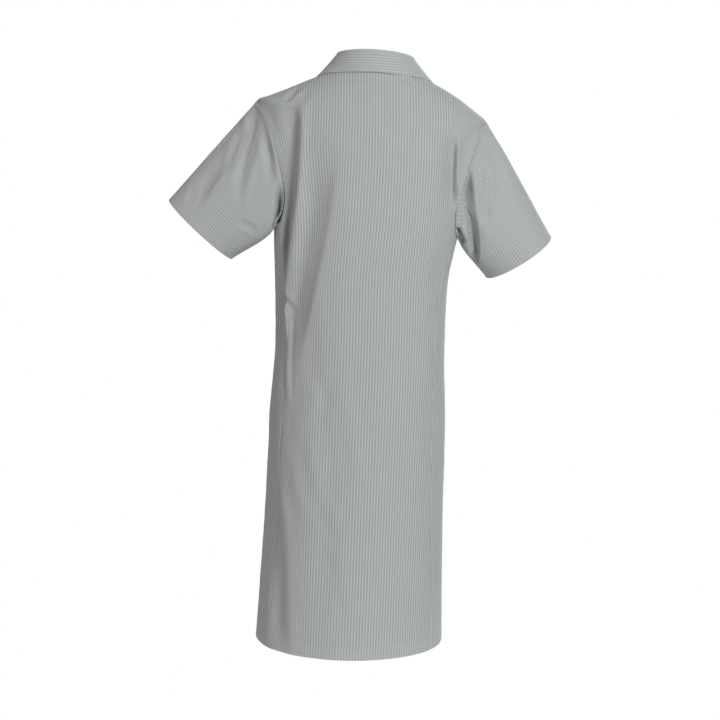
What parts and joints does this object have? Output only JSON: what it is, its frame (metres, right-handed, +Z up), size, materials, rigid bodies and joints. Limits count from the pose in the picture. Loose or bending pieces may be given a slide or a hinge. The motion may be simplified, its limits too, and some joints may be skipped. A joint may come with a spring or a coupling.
{
  "type": "work coat",
  "caption": "Short-sleeved, knee-length striped work coat with a folded collar and a buttoned front, hollow and filled out as worn.",
  "frame": {"origin": "middle of the neck opening, level with the back neck seam, where the wearer's neck and shoulders hold the coat up", "axes": "+Z up, the coat's front faces -Y, the wearer's left is +X"},
  "size_m": [0.6705, 0.2865, 1.032],
  "materials": {
    "striped_cloth": "woven poly-cotton poplin, narrow white and grey-green stripes down each piece, matt",
    "collar_cloth": "the same striped poplin, doubled, its stripes along the collar",
    "buttons": "moulded polyester, off-white, soft gloss"
  },
  "bodies": {
    "root": {"back": "striped_cloth", "front_left": "striped_cloth", "front_right": "striped_cloth", "sleeve_left": "striped_cloth", "sleeve_right": "striped_cloth", "collar": "collar_cloth", "button_1": "buttons", "button_2": "buttons", "button_3": "buttons", "button_4": "buttons", "button_5": "buttons", "button_6": "buttons", "button_7": "buttons"}
  },
  "joints": []
}
